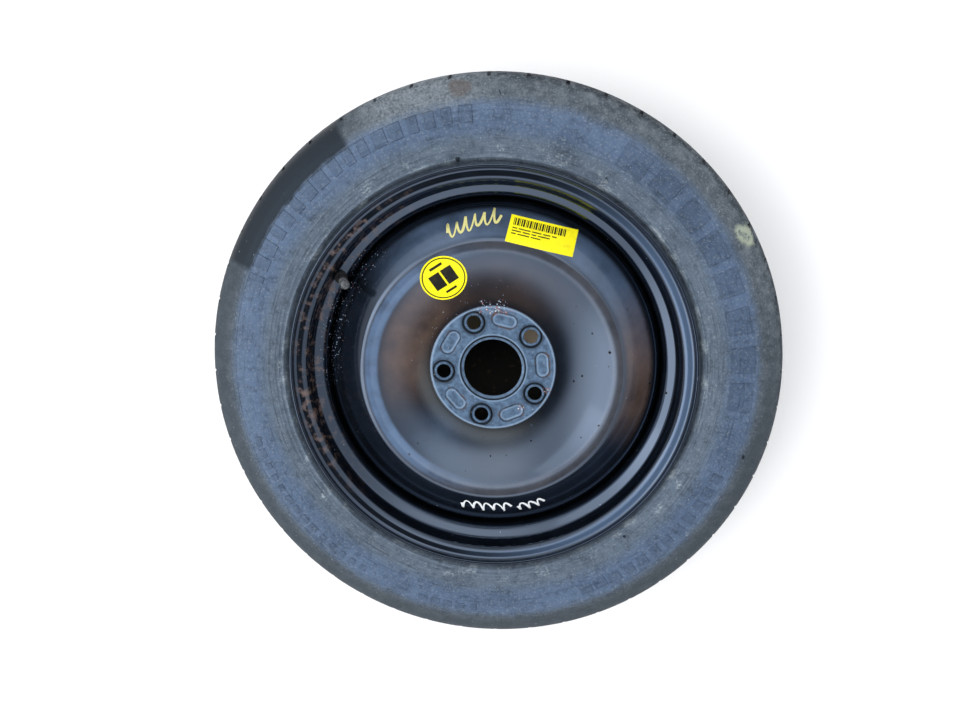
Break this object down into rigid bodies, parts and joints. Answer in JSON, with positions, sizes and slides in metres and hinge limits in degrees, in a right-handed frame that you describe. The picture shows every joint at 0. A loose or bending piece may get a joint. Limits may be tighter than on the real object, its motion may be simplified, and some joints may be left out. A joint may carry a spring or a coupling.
{
  "type": "spare wheel",
  "caption": "Temporary-use spare wheel: narrow rubber tyre on a black pressed-steel rim and disc with a centre bore, bolt holes and a snap-in valve.",
  "frame": {"origin": "centre of the wheel: on its axis, midway between the two rim flanges", "axes": "+Z along the wheel axis towards the outboard face; the wheel lies flat, outboard face up; +Y is the top of the reference view"},
  "size_m": [0.619, 0.619, 0.127],
  "materials": {
    "tyre_rubber": "weathered, dusty",
    "black_paint": "satin black primer coat",
    "valve_rubber": "matt",
    "stem_brass": "plain",
    "spring_steel": "plain",
    "cap_plastic": "matt grey"
  },
  "bodies": {
    "wheel": {"tyre": "tyre_rubber", "rim": "black_paint", "wheel_disc": "black_paint", "weld_beads": "black_paint", "valve_body": "valve_rubber", "valve_stem": "stem_brass", "valve_core_body": "stem_brass", "valve_core_gasket": "valve_rubber", "valve_spring": "spring_steel"},
    "core_pin": {"valve_pin": "stem_brass", "valve_pin_seal": "valve_rubber"},
    "cap_lift": {"valve_cap_seal": "valve_rubber"},
    "cap": {"valve_cap": "cap_plastic"}
  },
  "joints": [
    {"name": "cap_turn", "type": "hinge", "parent": "cap_lift", "child": "cap", "pos_m": [-0.15737, 0.09531, 0.04455], "axis": [0.3883, -0.2352, 0.891], "range_deg": [0, 2880]},
    {"name": "cap_rise", "type": "slide", "parent": "wheel", "child": "cap_lift", "axis": [0.3883, -0.2352, 0.891], "range_m": [0, 0.00635]},
    {"name": "pin_press", "type": "slide", "parent": "wheel", "child": "core_pin", "axis": [-0.3883, 0.2352, -0.891], "range_m": [0, 0.0012], "stiffness_N_per_m": 400, "springref_m": -0.001, "deforming": ["valve_spring"]}
  ],
  "couplings": [
    {"joint": "cap_turn", "follows": "cap_rise", "rad_per_m": 7913.3}
  ]
}
